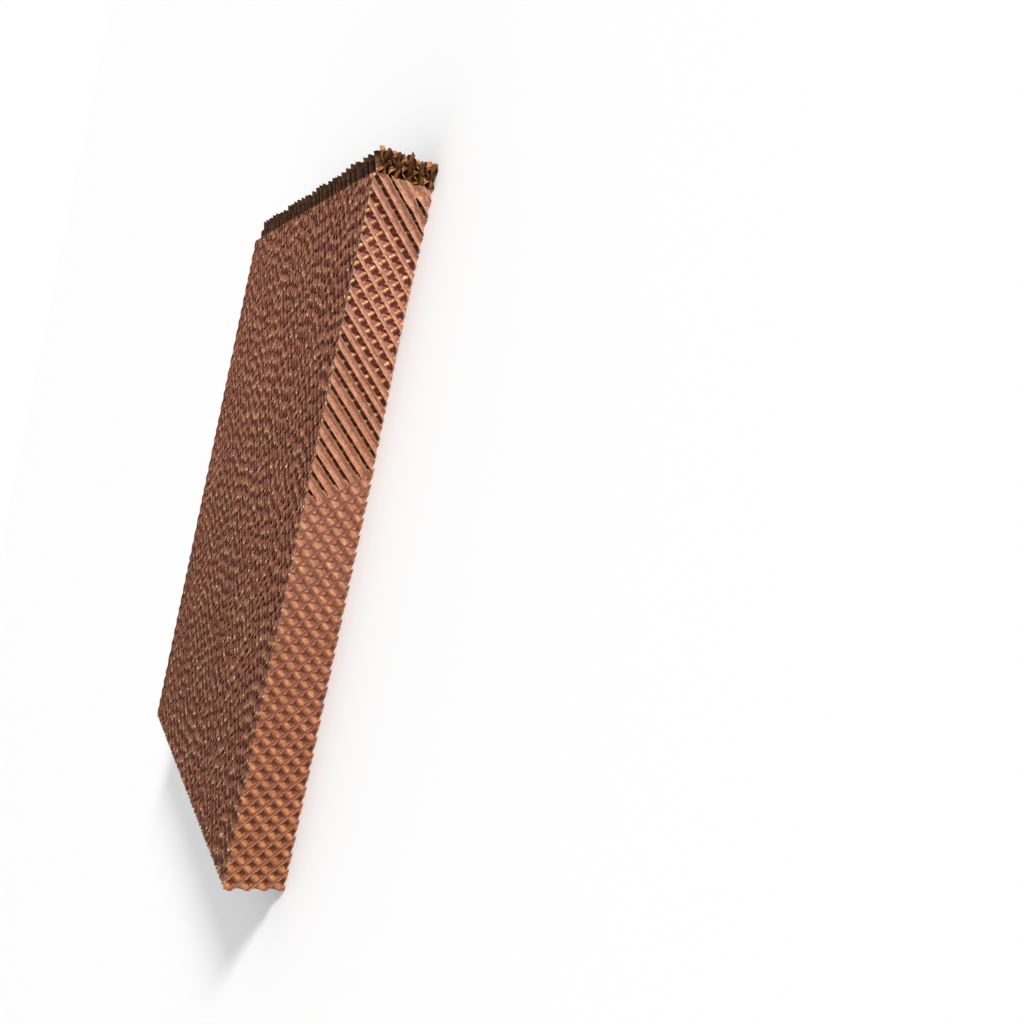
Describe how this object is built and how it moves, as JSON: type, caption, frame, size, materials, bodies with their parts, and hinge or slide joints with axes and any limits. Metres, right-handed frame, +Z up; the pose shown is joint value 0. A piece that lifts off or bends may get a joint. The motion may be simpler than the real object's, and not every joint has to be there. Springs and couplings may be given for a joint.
{
  "type": "evaporative cooling pad",
  "caption": "Flat rectangular pad of glued corrugated paper sheets with crossing slanted flutes; air passes through it and water runs down it to cool the air.",
  "frame": {"origin": "middle of the lower air face, on the floor the pad lies on", "axes": "+Z up along the air path, +Y up the pad towards its distribution strip, +X along the stack towards the sawn end"},
  "size_m": [0.7016, 0.905, 0.075],
  "materials": {
    "tan_paper": "resin-stiffened kraft paper, satin",
    "brown_paper": "resin-stiffened kraft paper, satin",
    "dark_paper": "resin-stiffened kraft paper, dark, rough"
  },
  "bodies": {
    "root": {"outer_sheet": "tan_paper", "outer_remains": "tan_paper", "second_sheet": "tan_paper", "rising_sheets": "brown_paper", "falling_sheets": "brown_paper", "middle_layers_1": "brown_paper", "middle_layers_2": "brown_paper", "middle_layers_3": "brown_paper", "middle_layers_4": "brown_paper", "last_rising_sheet": "brown_paper", "last_falling_sheet": "brown_paper", "strip_rising_sheets": "dark_paper", "strip_falling_sheets": "dark_paper"}
  },
  "joints": []
}
